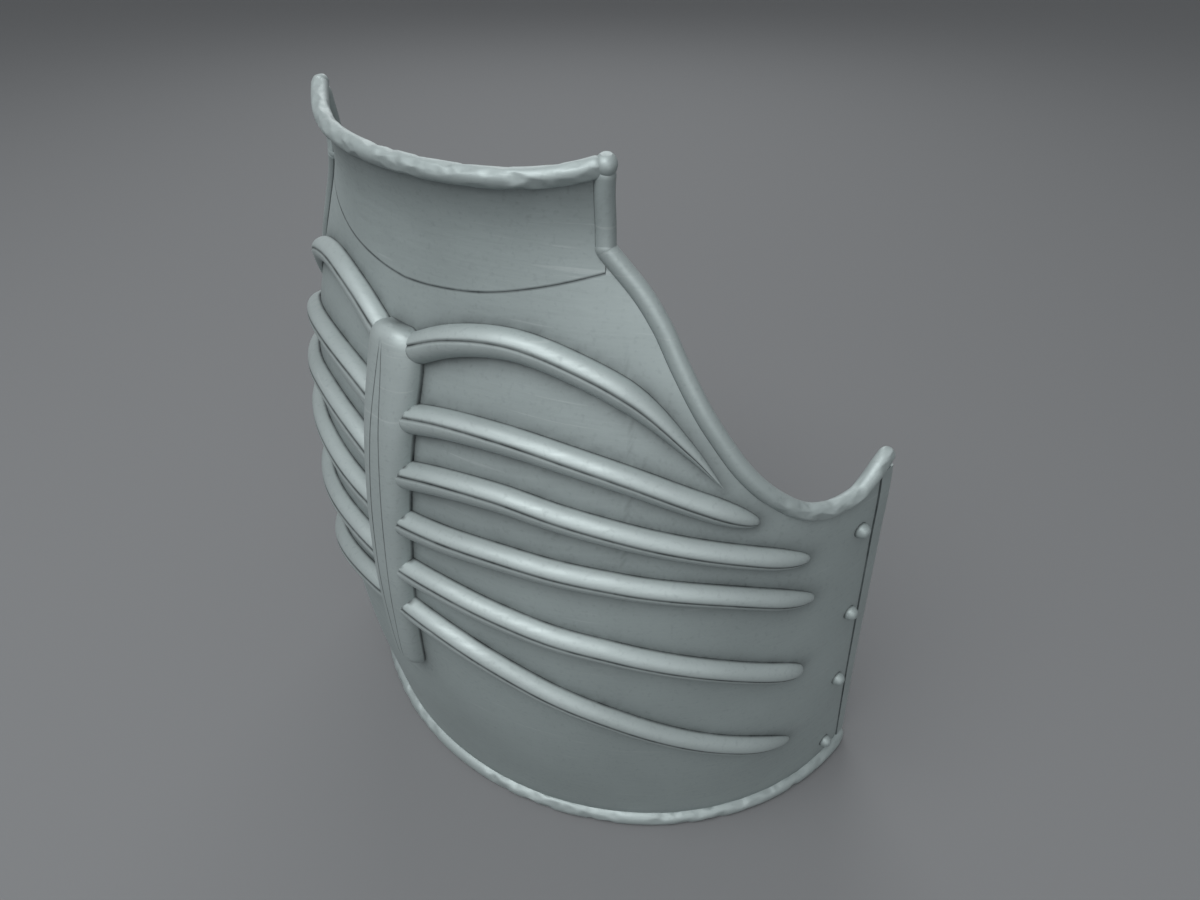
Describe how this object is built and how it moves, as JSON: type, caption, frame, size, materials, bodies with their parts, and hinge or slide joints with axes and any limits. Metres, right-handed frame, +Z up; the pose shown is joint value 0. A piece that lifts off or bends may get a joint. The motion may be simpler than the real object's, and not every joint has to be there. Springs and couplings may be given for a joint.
{
  "type": "breastplate of a cuirass with standing collar",
  "caption": "Steel breastplate with a standing collar, a raised sternum bar, swept ribs, beaded rims, side hems and rivets.",
  "frame": {"origin": "on the standing surface, under the middle of the bounding box", "axes": "+Z up, the front faces -Y, the wearer's left is +X"},
  "size_m": [0.3946, 0.2142, 0.4126],
  "materials": {
    "plate_steel": "satin grey steel, faintly blue-green",
    "rim_steel": "lighter satin steel with hammer marks",
    "rib_steel": "lighter satin steel",
    "rivet_steel": "satin steel"
  },
  "bodies": {
    "root": {"breast_plate": "plate_steel", "collar_plate": "plate_steel", "collar_rim": "rim_steel", "waist_rim": "rim_steel", "sternum_bar": "rib_steel", "collar_end_rim_left": "rim_steel", "arm_rim_left": "rim_steel", "side_hem_left": "plate_steel", "rib_left_1": "rib_steel", "rib_left_2": "rib_steel", "rib_left_3": "rib_steel", "rib_left_4": "rib_steel", "rib_left_5": "rib_steel", "rib_left_6": "rib_steel", "rivet_left_1": "rivet_steel", "rivet_left_2": "rivet_steel", "rivet_left_3": "rivet_steel", "rivet_left_4": "rivet_steel", "collar_end_rim_right": "rim_steel", "arm_rim_right": "rim_steel", "side_hem_right": "plate_steel", "rib_right_1": "rib_steel", "rib_right_2": "rib_steel", "rib_right_3": "rib_steel", "rib_right_4": "rib_steel", "rib_right_5": "rib_steel", "rib_right_6": "rib_steel", "rivet_right_1": "rivet_steel", "rivet_right_2": "rivet_steel", "rivet_right_3": "rivet_steel", "rivet_right_4": "rivet_steel"}
  },
  "joints": []
}
